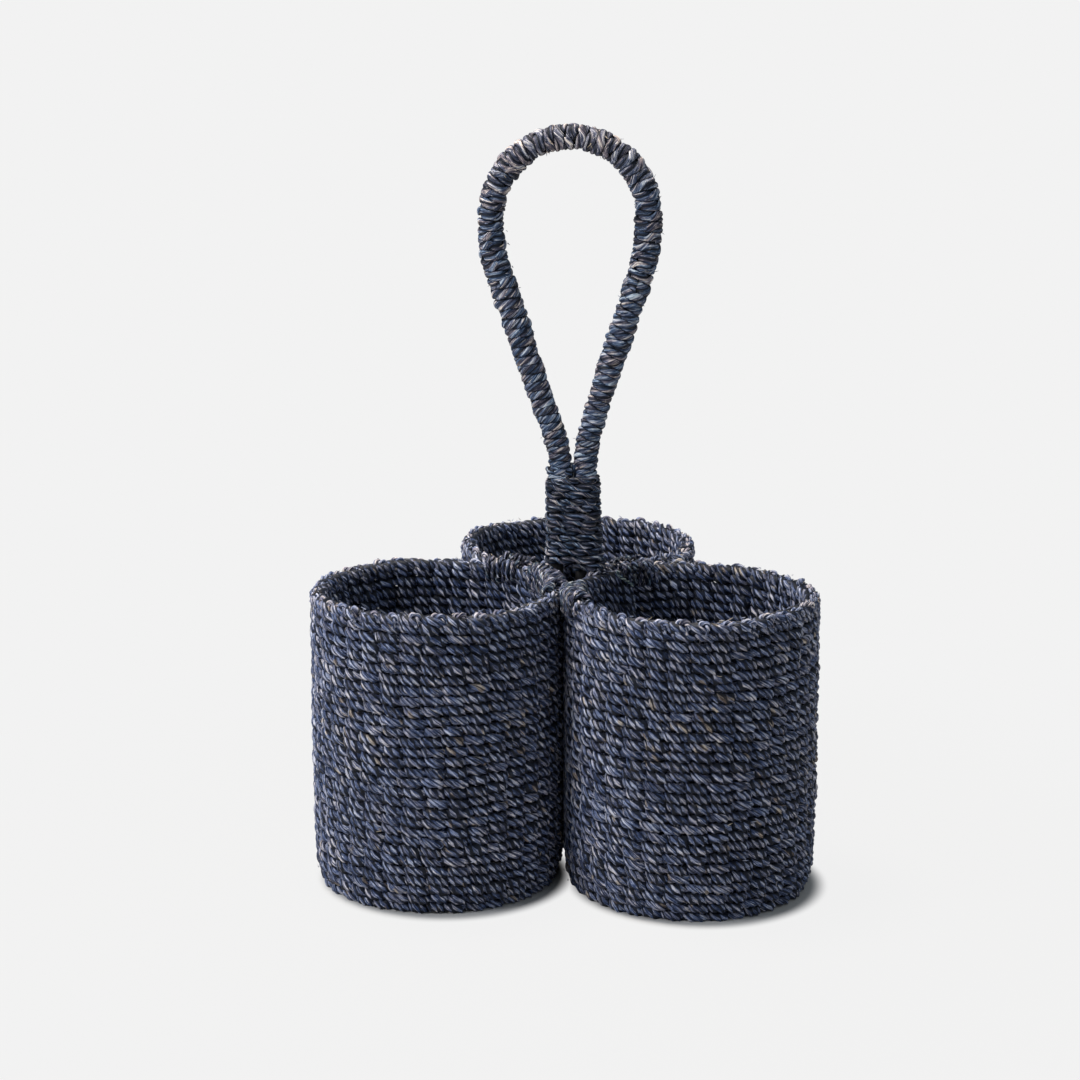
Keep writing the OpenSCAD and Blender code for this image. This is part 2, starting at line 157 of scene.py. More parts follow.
def cordPiece(name, path, out, up, halfOut, halfUp, twist, section, seed,
              closed=False, ridge=0.0, ground=None, room=None):
    # A cord: the section's outline, turned by twist and stretched to halfOut and halfUp, is set
    # at each point of the path along out and up. path is (cords, rings, 3); a ridge adds fibres,
    # and beyond half its room along up, where the next turn begins, shade is painted: the shade
    # mask falls to 0 there, as in the nips between the plies.
    path, out, up = (np.atleast_3d(a) if a.ndim == 3 else a[None] for a in (path, out, up))
    cords, rings = path.shape[:2]
    halfOut, halfUp, twist = (
        np.broadcast_to(np.asarray(a, float), (cords, rings))[..., None] for a in (halfOut, halfUp, twist)
    )
    angle, reach, tone = section
    sides = len(angle)
    dice = np.random.default_rng(seed)
    run = lengthAlong(path)[..., None] + dice.uniform(0, cordForm["start"], (cords, 1, 1))
    swell = np.ones((cords, rings, sides))
    if ridge:
        for waves, turnLength in cordForm["waves"]:
            phase = waves * angle + run * 2 * math.pi / turnLength + dice.uniform(0, 6.3)
            swell = swell + ridge * np.sin(phase)
    side = reach * swell * np.cos(angle + twist)
    rise = reach * swell * np.sin(angle + twist)
    points = (path[:, :, None] + out[:, :, None] * (halfOut * side)[..., None]
              + up[:, :, None] * (halfUp * rise)[..., None])
    if ground is not None:
        points[..., 2] = np.maximum(points[..., 2], ground)
    ring = np.arange(rings if closed else rings - 1)
    index = np.arange(cords * rings * sides).reshape(cords, rings, sides)
    here, there = index[:, ring], index[:, (ring + 1) % rings]
    quads = np.stack([here, np.roll(here, -1, 2), np.roll(there, -1, 2), there], -1).reshape(-1, 4)
    caps = np.zeros((0, 3), int)
    ends = np.zeros((0, 3))
    if not closed:
        # a middle point closes each end of every cord
        first = len(index.ravel()) + np.arange(cords)[:, None]
        caps = np.concatenate([
            np.stack([first + 0 * index[:, 0], np.roll(index[:, 0], -1, 1), index[:, 0]], -1),
            np.stack([first + cords + 0 * index[:, -1], index[:, -1], np.roll(index[:, -1], -1, 1)], -1),
        ]).reshape(-1, 3)
        ends = np.concatenate([points[:, 0].mean(1), points[:, -1].mean(1)])
    along = np.gradient(path, axis=1)
    if np.sum(np.cross(out, up) * along) < 0:
        quads, caps = quads[:, ::-1], caps[:, ::-1]
    size = np.minimum(halfOut, halfUp)
    fibre = np.stack([run + 0 * reach, size * reach * np.cos(angle) + 0 * run,
                      size * reach * np.sin(angle) + 0 * run], -1)
    # the shade mask: 1 at the plies' crests, falling to 0 in the nips between them, where the material
    # paints shade
    crestShade = np.clip((reach * swell - reach.min()) / (1 - reach.min()), 0, 1)
    ply = np.broadcast_to(tone, crestShade.shape)
    # painted shade along the edges of the room, where the next turn lies against this one
    if room is not None:
        fromMiddle = abs(halfUp * rise) / np.reshape(room, (1, -1, 1))
        crestShade = crestShade * (1 - smooth((fromMiddle - cordForm["grooveShadeAt"]) / cordForm["grooveShadeWide"]))
    # each end cap gets a fixed value of the shade mask, so it is painted partly shaded
    if len(ends):
        endFibre = fibre[:, [0, -1], 0].transpose(1, 0, 2).reshape(-1, 3)
        fibre = np.concatenate([fibre.reshape(-1, 3), endFibre])
        crestShade = np.concatenate([crestShade.ravel(), np.full(2 * cords, cordForm["endCrestShade"])])
        ply = np.concatenate([ply.ravel(), np.full(2 * cords, cordForm["endPly"])])
    return meshPiece(name, np.concatenate([points.reshape(-1, 3), ends]), quads, caps, {
        "fibre": ("FLOAT_VECTOR", "vector", fibre),
        "crestShade": ("FLOAT", "value", np.clip(crestShade, 0, 1)),
        "ply": ("FLOAT", "value", ply),
    })


# Shader maths: one class wraps a socket, so that an expression on values adds its Math nodes
class Flow:
    def __init__(self, tree, socket=None):
        self.tree = tree
        self.socket = socket

    # any node: its type after ShaderNode, its settings, then the values or links of its sockets
    def node(self, kind, settings=None, inputs=None, output=0):
        made = self.tree.nodes.new("ShaderNode" + kind)
        for key, value in (settings or {}).items():
            if key == "stops":
                ramp = made.color_ramp
                for number, (place, colour) in enumerate(value):
                    stop = ramp.elements[number] if number < 2 else ramp.elements.new(place)
                    stop.position = place
                    stop.color = (*colour, 1)
            else:
                setattr(made, key, value)
        for key, value in (inputs or {}).items():
            if isinstance(value, Flow):
                self.tree.links.new(value.socket, made.inputs[key])
            else:
                made.inputs[key].default_value = value
        return Flow(self.tree, made.outputs[output] if made.outputs else None)

    def math(self, operation, a, b=0.0):
        return self.node("Math", {"operation": operation}, {0: a, 1: b})

    def __add__(self, other):
        return self.math("ADD", self, other)

    def __sub__(self, other):
        return self.math("SUBTRACT", self, other)

    def __mul__(self, other):
        return self.math("MULTIPLY", self, other)

    def __radd__(self, other):
        return self.math("ADD", other, self)

    def __rsub__(self, other):
        return self.math("SUBTRACT", other, self)

    def __rmul__(self, other):
        return self.math("MULTIPLY", other, self)

    def above(self, low, high):
        # 0 below low, 1 above high, a smooth step between
        return self.node("MapRange", {"interpolation_type": "SMOOTHSTEP"},
                         {"Value": self, "From Min": low, "From Max": high})

    def blend(self, colourA, colourB, how="MIX"):
        # self is the share of the second colour
        return self.node("Mix", {"data_type": "RGBA", "blend_type": how},
                         {0: self, 6: colourA, 7: colourB}, 2)

    def stretched(self, factors):
        return self.node("VectorMath", {"operation": "MULTIPLY"}, {0: self, 1: factors})


def newMaterial(name):
    material = bpy.data.materials.new(name)
    material.use_nodes = True
    tree = material.node_tree
    tree.nodes.clear()
    return material, Flow(tree)


def noise(flow, vector, stretch, detail=2.0, rough=0.5, output=0):
    return flow.node("TexNoise", {"noise_dimensions": "3D"}, {
        "Vector": vector.stretched(stretch), "Scale": 1.0, "Detail": detail, "Roughness": rough}, output)


# What all the fibre materials share: where streaks, glints and single pale fibres begin, the
# height above which the crown is painted as lit from above and that of a bleached band, in metres,
# and the colour of the painted shade in the grooves
fibreForm = {
    "streakRun": 0.16, "shift": (370.0, 90.0, 40.0), "glintAt": (0.54, 0.69), "litCrownAt": (0.318, 0.352),
    "warmAt": (0.50, 0.60), "coolAt": (0.40, 0.50), "bandHeight": 0.088, "bandWide": (0.004, 0.020),
    "bandShare": 0.045, "paleAt": (0.61, 0.68), "pale": (0.60, 0.56, 0.50, 1), "grooveShadeTo": 0.6,
    "grooveShadeShare": 0.88, "grooveShade": (0.0028, 0.0055, 0.013, 1),
}


def fibreMaterial(name, look):
    # Fine streaks run along the fibres; each ply has a tone, a tint and flecks of its own along the
    # cord, read from the three channels of one noise; shade is painted into the grooves between the
    # plies and between the turns, and highlights onto the crests
    material, flow = newMaterial(name)
    fibre = flow.node("Attribute", {"attribute_name": "fibre"}, output=1)
    crestShade = flow.node("Attribute", {"attribute_name": "crestShade"}, output=2)
    crestShade = flow.math("MINIMUM", look["full"] * crestShade, 1.0)
    ply = flow.node("Attribute", {"attribute_name": "ply"}, output=2)
    streak = noise(flow, fibre, (fibreForm["streakRun"], look["fine"], look["fine"]), 3.0, 0.65)
    shifted = flow.node("VectorMath", {"operation": "ADD"}, {0: fibre, 1: fibreForm["shift"]})
    plies = [noise(flow, place, (look["along"], look["across"], look["across"]), 1.0, output=1)
             for place in (fibre, shifted)]
    own = flow.node("SeparateColor", inputs={0: ply.blend(*plies)})
    tint = Flow(own.tree, own.socket.node.outputs[1])
    fleck = Flow(own.tree, own.socket.node.outputs[2])
    glint = noise(flow, fibre, (0.30, 1.5, 1.5), 2.0, 0.6).above(*fibreForm["glintAt"])
    # painted top light: the crown of the loop is painted paler and less blue, as lit from above
    place = flow.node("SeparateXYZ", inputs={0: flow.node("TexCoord", output=3)})
    height = Flow(place.tree, place.socket.node.outputs[2])
    litCrown = height.above(*fibreForm["litCrownAt"])
    # painted light and shade: the crest term darkens the nips and lightens the crests, the glints are
    # painted highlights on the crests, and the crown term is painted top light
    level = (look["middle"] + look["streak"] * (streak - 0.5) + look["tone"] * (own - 0.5)
             + look["crestShade"] * (crestShade - 0.5) + look["glint"] * glint * crestShade + look["crownLight"] * litCrown)
    body = level.node("ValToRGB", {"stops": look["stops"]}, {0: level})
    warmBody = level.node("ValToRGB", {"stops": look["warmStops"]}, {0: level})
    coolBody = level.node("ValToRGB", {"stops": look["coolStops"]}, {0: level})
    tanBody = level.node("ValToRGB", {"stops": look["tanStops"]}, {0: level})
    body = (tint.above(*fibreForm["warmAt"]) * look["warm"]).blend(body, warmBody)
    body = ((1 - tint.above(*fibreForm["coolAt"])) * look["cool"]).blend(body, coolBody)
    # painted top light: the crown is also painted warmer
    body = (litCrown * 0.5).blend(body, warmBody)
    # more of the flecks lie about one height, where a bleached bundle was woven in
    band = 1 - height.math("ABSOLUTE", height - fibreForm["bandHeight"]).above(*fibreForm["bandWide"])
    fleck = (fleck + fibreForm["bandShare"] * band).above(*look["tanAt"])
    body = (fleck * look["tan"]).blend(body, tanBody)
    # single pale fibres, shown on the crests only: partly pale fibres, partly painted highlight
    pale = noise(flow, fibre, (0.20, 3.6, 3.6), 2.0, 0.55).above(*fibreForm["paleAt"])
    body = (pale * crestShade * look["bleachAndGleam"]).blend(body, fibreForm["pale"])
    # painted shade: where the shade mask is low, between plies and turns, the colour goes to a deep navy
    grooveShade = 1 - crestShade.above(0.0, fibreForm["grooveShadeTo"])
    body = (grooveShade * fibreForm["grooveShadeShare"]).blend(body, fibreForm["grooveShade"])
    bump = flow.node("Bump", inputs={
        "Strength": look["bump"], "Distance": 0.0006, "Height": streak})
    skin = flow.node("BsdfPrincipled", inputs={
        "Base Color": body, "Roughness": look["rough"] + 0.3 * (1 - streak), "Normal": bump,
        "Specular IOR Level": 0.27, "Sheen Weight": look["sheen"], "Sheen Roughness": 0.4})
    flow.node("OutputMaterial", inputs={"Surface": skin})
    return material


def ramp(*colours):
    # five colours, from the deepest shade to the palest fibre
    return list(zip((0.0, 0.30, 0.52, 0.74, 1.0), colours))


dyed = {
    "stops": ramp((0.0016, 0.0056, 0.021), (0.0132, 0.0262, 0.072), (0.055, 0.083, 0.176),
                  (0.222, 0.264, 0.425), (0.72, 0.72, 0.80)),
    "warmStops": ramp((0.0028, 0.0048, 0.014), (0.0180, 0.0240, 0.055), (0.076, 0.080, 0.142),
                      (0.295, 0.275, 0.345), (0.82, 0.75, 0.71)),
    "coolStops": ramp((0.0015, 0.0050, 0.021), (0.0105, 0.0250, 0.077), (0.041, 0.072, 0.188),
                      (0.165, 0.230, 0.43), (0.52, 0.61, 0.80)),
    "tanStops": [(0.1, (0.045, 0.030, 0.020)), (0.5, (0.21, 0.145, 0.085)), (0.9, (0.62, 0.52, 0.36))],
    "tanAt": (0.645, 0.69), "warm": 0.42, "cool": 0.50, "tan": 0.68, "along": 0.11, "across": 0.15,
    "fine": 1.5, "middle": 0.412, "streak": 2.3, "tone": 0.90, "crestShade": 0.34, "glint": 0.38,
    "bump": 1.0, "rough": 0.34, "sheen": 0.05, "bleachAndGleam": 0.75, "full": 3.2, "crownLight": 0.0,
}
tealStops = ramp((0.004, 0.007, 0.011), (0.015, 0.034, 0.047), (0.052, 0.094, 0.118),
                 (0.21, 0.30, 0.33), (0.58, 0.66, 0.60))
handleStops = {
    "stops": ramp((0.0020, 0.0055, 0.017), (0.0150, 0.0270, 0.062), (0.056, 0.084, 0.162),
                  (0.225, 0.268, 0.390), (0.72, 0.72, 0.75)),
    "warmStops": ramp((0.0035, 0.0045, 0.011), (0.0220, 0.0230, 0.045), (0.092, 0.080, 0.112),
                      (0.350, 0.285, 0.290), (0.86, 0.77, 0.68)),
    "coolStops": ramp((0.0018, 0.0055, 0.017), (0.0115, 0.0280, 0.062), (0.040, 0.080, 0.165),
                      (0.160, 0.248, 0.390), (0.54, 0.66, 0.76)),
}
materials = {
    "weft": fibreMaterial("dyed seagrass weft", dyed),
    # painted highlight: the folded stake ends are a paler, warmer copy of the weft, for the light they catch
    # on the rim
    "stake": fibreMaterial("seagrass stake, painted highlight", {
        **dyed, "middle": 0.50, "warm": 0.9, "cool": 0.3, "bleachAndGleam": 0.8, "full": 1.7}),
    "binding": fibreMaterial("dyed handle binding", {
        **dyed, **handleStops, "full": 1.5, "middle": 0.365, "crownLight": 0.06, "along": 0.06, "across": 0.45,
        "tan": 0.2, "streak": 2.4, "warm": 0.85, "cool": 0.7, "tone": 1.0, "glint": 0.34,
        "bleachAndGleam": 0.7, "rough": 0.42}),
    # painted shade: the post and its filling take a darker copy of the binding, for the shade that falls on
    # them
    "post": fibreMaterial("shaded post binding", {
        **dyed, **handleStops, "full": 1.5, "middle": 0.215, "along": 0.05, "across": 0.45, "tan": 0.3,
        "warm": 0.7, "cool": 0.9, "tone": 1.2, "glint": 0.5}),
    # painted shade: the tying twine is made much darker than the weft, for the shade that it lies in
    "tie": fibreMaterial("shaded tying twine", {
        **dyed, "full": 1.5, "middle": 0.17, "glint": 0.75, "fine": 1.3, "streak": 2.6, "along": 0.07,
        "tan": 0.4, "warm": 0.9, "coolStops": tealStops}),
    "teal": fibreMaterial("teal twine end", {
        **dyed, "full": 1.5, "middle": 0.56, "fine": 1.7, "streak": 3.0, "tan": 0.0,
        "stops": tealStops, "warmStops": tealStops, "coolStops": tealStops}),
    "hair": fibreMaterial("loose fibre", {**dyed, "middle": 0.62, "tan": 0.9, "tanAt": (0.5, 0.6)}),
}


def finishPiece(piece, slotName, *nodes, look=None):
    piece.data.materials.append(materials[look or slotName])
    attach(piece, "root")
    if nodes:
        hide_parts(*nodes)
    return piece


def caneMaterial():
    # split cane, stained dark: long grain up the rod, with a few pale pores
    material, flow = newMaterial("stained cane")
    place = flow.node("TexCoord", output=3)
    grain = noise(flow, place, (900, 900, 60), 3.0, 0.6)
    stops = [(0.35, (0.008, 0.008, 0.010)), (0.55, (0.018, 0.017, 0.018)), (0.75, (0.05, 0.043, 0.038))]
    body = grain.node("ValToRGB", {"stops": stops}, {0: grain})
    bump = flow.node("Bump", inputs={"Strength": 0.4, "Distance": 0.0004, "Height": grain})
    skin = flow.node("BsdfPrincipled", inputs={
        "Base Color": body, "Roughness": 0.45 + 0.2 * grain, "Normal": bump})
    flow.node("OutputMaterial", inputs={"Surface": skin})
    return material


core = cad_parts["handle_core"]
core.data.materials.clear()
core.data.materials.append(caneMaterial())
print("materials made")

# Weft: two strands twined round the stakes, course upon course
weft = {
    "courses": 29, "firstHeight": 2.4, "lastHeight": 136.5, "rimLift": 3.2, "footTuck": 2.6,
    "footCourses": 3, "ringsPerStitch": 10, "lobe": 4.1, "halfDepth": 2.05, "halfHeight": 2.42,
    "innerSwell": 0.14, "innerLobe": 0.6, "swing": 2.15, "slant": 0.5, "wander": 0.24, "stepOver": 3,
    "apart": 0.50, "plies": 4, "startTurn": 30, "flatness": 1.6, "outVary": 0.22, "riseVary": 0.30,
    "thickVary": 0.14, "slub": 0.26, "slubFrom": 0.6, "twistVary": 0.32, "pressed": 0.75, "ground": 0.02,
}
courseStep = (weft["lastHeight"] - weft["firstHeight"]) / (weft["courses"] - 1)
weftSection = plySection(8, weft["apart"], weft["plies"])


def drawnIn(level):
    # the lowest courses are drawn in under the wall, by the square of what is left to go
    return weft["footTuck"] * np.maximum(0, 1 - level / weft["footCourses"]) ** 2


def unevenness(around, height, k):
    # slow waves over a pocket's wall, in millimetres: hand weaving is never quite level
    return (0.55 * np.sin(3 * around + height / 19 + 2.1 * k) + 0.30 * np.sin(7 * around - height / 11 + k)
            + 0.18 * np.sin(13 * around + height / 7))


def swinging(t, strand):
    # side to side like a flattened cosine, one stitch to each side, and the lean between the sides
    flat = weft["flatness"]
    side = (1 - 2 * strand) * np.tanh(flat * np.cos(math.pi * (t - 0.5))) / math.tanh(flat)
    return side, (1 - 2 * strand) * np.cos(math.pi * t)


def weftStrand(k, strand):
    # stitch t lies at angle t steps round the pocket; the strand swings out and in, one stake to
    # each, and slopes down outside and up inside, so every stitch leans one way
    count = pocket["stakes"] * (weft["courses"] + 1)
    t = np.linspace(0, count, count * weft["ringsPerStitch"] + 1)
    around = pocketTurn(k) + math.radians(weft["startTurn"]) + t * stakeStep
    turn = np.minimum(np.floor(t / pocket["stakes"]), weft["courses"])
    left = turn + 1 - t / pocket["stakes"]
    climb = smooth(1 - left * pocket["stakes"] / weft["stepOver"]) * (turn < weft["courses"])
    level = turn + climb
    height = (weft["firstHeight"] + courseStep * np.minimum(level, weft["courses"] - 1)
              + weft["rimLift"] * np.maximum(0, level - weft["courses"] + 1))
    seed = 100 + 10 * k + strand
    side, lean = swinging(t + weft["wander"] * smoothRandom(90 + k, t, 2.3), strand)
    radius = (stakeRadius - drawnIn(level) + weft["swing"] * side
              + pocket["bulge"] * np.sin(math.pi * height / pocket["height"])
              + weft["outVary"] * smoothRandom(seed + 1, t, 1.3))
    rise = (height + weft["slant"] * lean + weft["riseVary"] * smoothRandom(seed + 2, t, 1.7)
            + unevenness(around, height, k))
    out = outwards(around)
    path = pocketCentre(k) + out * radius[:, None] + upright * rise[:, None]
    up = np.broadcast_to(upright, out.shape)
    # here and there a thick place
    slub = np.maximum(0, smoothRandom(seed + 4, t, 1.2) - weft["slubFrom"]) / (1 - weft["slubFrom"])
    thick = varied(weft["thickVary"], seed + 3, t, 1.9) + weft["slub"] * slub
    twist = twisted(path, weft["lobe"] + weft["innerLobe"] * (1 - side) / 2, seed + 5,
                    weft["twistVary"], weft["plies"])
    name = f"{names[k]}_weft_{'ab'[strand]}"
    # the plies are pressed together: where no crest points up, the section is stretched
    pressing = np.maximum(abs(np.cos(twist)), abs(np.sin(twist))) ** weft["pressed"]
    halfHeight = weft["halfHeight"] * thick * (1 + weft["innerSwell"] * (1 - side) / 2) / pressing
    # room marks painted shade along the upper and lower edges of each course, between the rows
    piece = cordPiece(name, path, out, up, weft["halfDepth"] * thick, halfHeight,
                      twist, weftSection, seed, ground=weft["ground"], room=courseStep + 0 * t)
    return finishPiece(piece, "weft", f"{names[k]}_wall")


for k in range(3):
    for strand in range(2):
        weftStrand(k, strand)
print("weft woven")

# Stakes: up through the weft, then each end is bent along the rim and down over its outer side
stake = {
    "start": 12, "foldHeight": 141.3, "span": 4.6, "half": 1.45, "turn": 26, "lobe": 3.6, "rings": 23,
    "tall": 1.1, "back": [0.2, 0.8, 1.2], "over": [0.5, 1.2, 0.2], "down": [1.3, 3.6, 5.6],
    "turnVary": 0.36, "spanVary": 0.2, "heightVary": 0.65, "tallVary": 0.3, "outVary": 0.35,
    "thickVary": 0.13, "squareness": 0.75, "thinBelow": 8, "thinShare": 0.9, "sides": 16, "apart": 0.47,
    "ridge": 0.08,
}


def stakePiece(k):
    # straight up, a flat arch ahead and outwards, then down and back over the last course; each one
    # varies a little in height, length and direction
    count = pocket["stakes"]
    dice = np.random.default_rng(300 + k)
    vary = dice.uniform(-1, 1, (6, count, 1))
    angle = pocketTurn(k) + (np.arange(count)[:, None] + 0.5) * stakeStep
    out = outwards(angle)
    ahead = outwards(angle + math.pi / 2 - math.radians(stake["turn"]) + stake["turnVary"] * vary[0])
    bow = np.linspace(0, math.pi, stake["rings"] - 6)[None, :]
    reach = stake["span"] / 2 * (1 + stake["spanVary"] * vary[1])
    c, s = squared(bow, stake["squareness"])
    across = np.concatenate([0 * reach, 0 * reach, 0 * reach, reach * (1 - c), 2 * reach - stake["back"]], 1)
    top = stake["foldHeight"] + stake["heightVary"] * vary[2]
    arch = top + stake["tall"] * (1 + stake["tallVary"] * vary[3]) * s
    height = np.concatenate([stake["start"] + 0 * top, top - 12, top - 3, arch, top - stake["down"]], 1)
    radial = stakeRadius + stake["outVary"] * vary[4] + 0 * height
    radial[:, -3:] += stake["over"]
    path = (pocketCentre(k) + out * radial[..., None] + ahead * across[..., None]
            + upright * height[..., None])
    path[..., 2] += unevenness(angle, height, k) * smooth(height / 60)
    side, up = framed(path, np.broadcast_to(out, path.shape))
    run = lengthAlong(path)
    thick = stake["half"] * (1 + stake["thickVary"] * vary[5])
    half = np.where(height < stake["foldHeight"] - stake["thinBelow"], stake["thinShare"], 1) * thick
    twist = 3 * vary[0] - math.pi * run / stake["lobe"]
    piece = cordPiece(f"{names[k]}_stake_ends", path, side, up, half, half, twist,
                      plySection(stake["sides"], stake["apart"]), 310 + k, ridge=stake["ridge"])
    return finishPiece(piece, "stake", f"{names[k]}_stakes")


for k in range(3):
    stakePiece(k)
print("stakes folded")

# Floors: the same pair of strands in a flat spiral, which starts inside the wall's foot, so that
# its first whole round closes the gap there
spiral = {"outer": 53.2, "inner": 3.0, "pitch": 4.6, "height": 3.2, "stitch": 10.0,
              "swing": 1.0, "slant": 0.9, "halfDepth": 1.5, "halfWidth": 2.4, "lobe": 4.3, "step": 1.1,
              "thickVary": 0.12, "ground": 0.3}


def floorPiece(k, strand):
    # a spiral that comes in by one pitch each turn; the strands swing up and down between its sides
    outer, inner, pitch = (spiral[key] for key in ("outer", "inner", "pitch"))
    length = math.pi * (outer + inner) * ((outer - inner) / pitch)
    share = np.linspace(0, 1, int(length / spiral["step"]))
    # equal steps of length on a spiral: its radius falls with the square root
    radius = np.sqrt(outer ** 2 - (outer ** 2 - inner ** 2) * share)
    around = (outer - radius) / pitch * 2 * math.pi + pocketTurn(k)
    t = share * length / spiral["stitch"]
    side, lean = swinging(t, strand)
    out = outwards(around)
    up = np.broadcast_to(upright, out.shape)
    seed = 400 + 10 * k + strand
    path = (pocketCentre(k) + out * (radius - spiral["slant"] * lean)[:, None]
            + up * (spiral["height"] + spiral["swing"] * side)[:, None])
    thick = varied(spiral["thickVary"], seed + 3, t, 1.9)
    piece = cordPiece(f"{names[k]}_floor_weft_{'ab'[strand]}", path, up, out,
                      spiral["halfDepth"] * thick, spiral["halfWidth"] * thick,
                      twisted(path, spiral["lobe"], seed + 5, plies=weft["plies"]), weftSection, seed,
                      ground=spiral["ground"])
    return finishPiece(piece, "weft", f"{names[k]}_floor")


for k in range(3):
    for strand in range(2):
        floorPiece(k, strand)
print("floors woven")

# Handle: the middle line of the core, as in the part's source
handle = {
    "core": 6.4, "legX": 6.1, "direction": 35, "partingHeight": 192, "partRadius": 70, "lean": 18,
    "sideRadius": 104, "crownRadius": 36.9, "legTurns": 22, "bowTurns": 19, "legTurn": 3.5,
    "boundLeg": 11.2, "boundSide": 13.2, "boundCrown": 12.1, "sway": 1.1, "swayHeight": 300,
    "forkAside": 1.7,
}
legX, partRadius, sideRadius, crownRadius, partingHeight, legTurns, legTurn = (
    handle[key] for key in
    ("legX", "partRadius", "sideRadius", "crownRadius", "partingHeight", "legTurns", "legTurn"))
# the legs stand where a line at this direction from a front pocket's middle meets them
legY = math.tan(math.radians(handle["direction"])) * (spacing / 2 - legX) - gapRadius / 2
handleY = gapY + legY
lean = math.radians(handle["lean"])
partLength = partRadius * lean
sideLength = sideRadius * lean
legRun = (crownRadius - legX - (partRadius + sideRadius) * (1 - math.cos(lean))) / math.sin(lean)
legLength = partLength + legRun
halfLength = legLength + sideLength + crownRadius * math.pi / 2
partX = legX + partRadius * (1 - math.cos(lean))
partZ = partingHeight + partRadius * math.sin(lean)
sideX = partX + legRun * math.sin(lean)
sideZ = partZ + legRun * math.cos(lean)
crownZ = sideZ + sideRadius * math.sin(lean)
halfTurns = legTurns + handle["bowTurns"]
turnGrowth = 2 * (legLength / legTurns - legTurn)
bowTurn = (halfLength - legLength) / handle["bowTurns"]


def halfLine(q):
    # q along the right half of the loop: a bend outwards, a straight, a bend back, the crown's arc
    stages = [q < partLength, q < legLength, q < legLength + sideLength, q >= legLength + sideLength]
    heading = np.select(stages, [
        q / partRadius, lean + 0 * q, lean - (q - legLength) / sideRadius,
        -(q - legLength - sideLength) / crownRadius])
    x = np.select(stages, [
        legX + partRadius * (1 - np.cos(heading)),
        partX + (q - partLength) * math.sin(lean),
        sideX + sideRadius * (np.cos(heading) - math.cos(lean)),
        crownRadius * np.cos(heading)])
    z = np.select(stages, [
        partingHeight + partRadius * np.sin(heading),
        partZ + (q - partLength) * math.cos(lean),
        sideZ + sideRadius * (math.sin(lean) - np.sin(heading)),
        crownZ - crownRadius * np.sin(heading)])
    return x, z, heading


def bendOf(q):
    # curvature about the loop's inside: the legs bend away from it, the sides and the crown round it
    return np.select([q < partLength, q < legLength, q < legLength + sideLength],
                     [-1 / partRadius, 0, 1 / sideRadius], 1 / crownRadius)


def turnPlace(n):
    # distance along half the loop after n turns: growing turns up the leg, even ones round the bow
    return np.where(n < legTurns, legTurn * n + turnGrowth * n * n / (2 * legTurns),
                    legLength + (n - legTurns) * bowTurn)


def boundRadius(q):
    # from the parting to the sides it grows evenly, and from there to the crown it falls with the square
    rest = (q - legLength) / (halfLength - legLength)
    return np.where(q < legLength,
                    handle["boundLeg"] + (handle["boundSide"] - handle["boundLeg"]) * q / legLength,
                    handle["boundSide"] + (handle["boundCrown"] - handle["boundSide"]) * rest ** 2) / 2


binding = {
    "ringsPerTurn": 44, "sides": 26, "apart": 0.44, "bowLobe": 10.5, "legLobe": 6.0, "dwell": 0.37,
    "under": 1.2, "placeVary": 0.06, "thickVary": (0.14, 0.12), "highVary": 0.28, "slantVary": 0.07,
    "twistVary": 0.3, "ridge": 0.03, "fullOut": 1.08, "fullAlong": 0.585, "reachOut": 0.96,
    "reachAlong": 0.86, "swayLong": 26, "asideFrom": -8, "asideLong": 60,
}


def pressed(twist):
    # the plies lie side by side most of the way and cross quickly: the twist, plus a share of the
    # sine of twice itself; the two numbers are how far the section then reaches out and along
    twist = twist + binding["dwell"] * np.sin(2 * twist)
    ply = 1 - binding["apart"]
    return twist, binding["apart"] * abs(np.cos(twist)) + ply, binding["apart"] * abs(np.sin(twist)) + ply


def loopFrame(heading, sign, turning):
    # the way along the loop, and the way off it after turning: outwards at a quarter turn, to the
    # front at a whole one
    along = np.stack([-np.sin(heading), 0 * heading, sign * np.cos(heading)], -1)
    outward = np.stack([-along[:, 2], 0 * heading, along[:, 0]], -1)
    return along, np.sin(turning)[:, None] * outward - np.cos(turning)[:, None] * np.array([0, 1.0, 0])


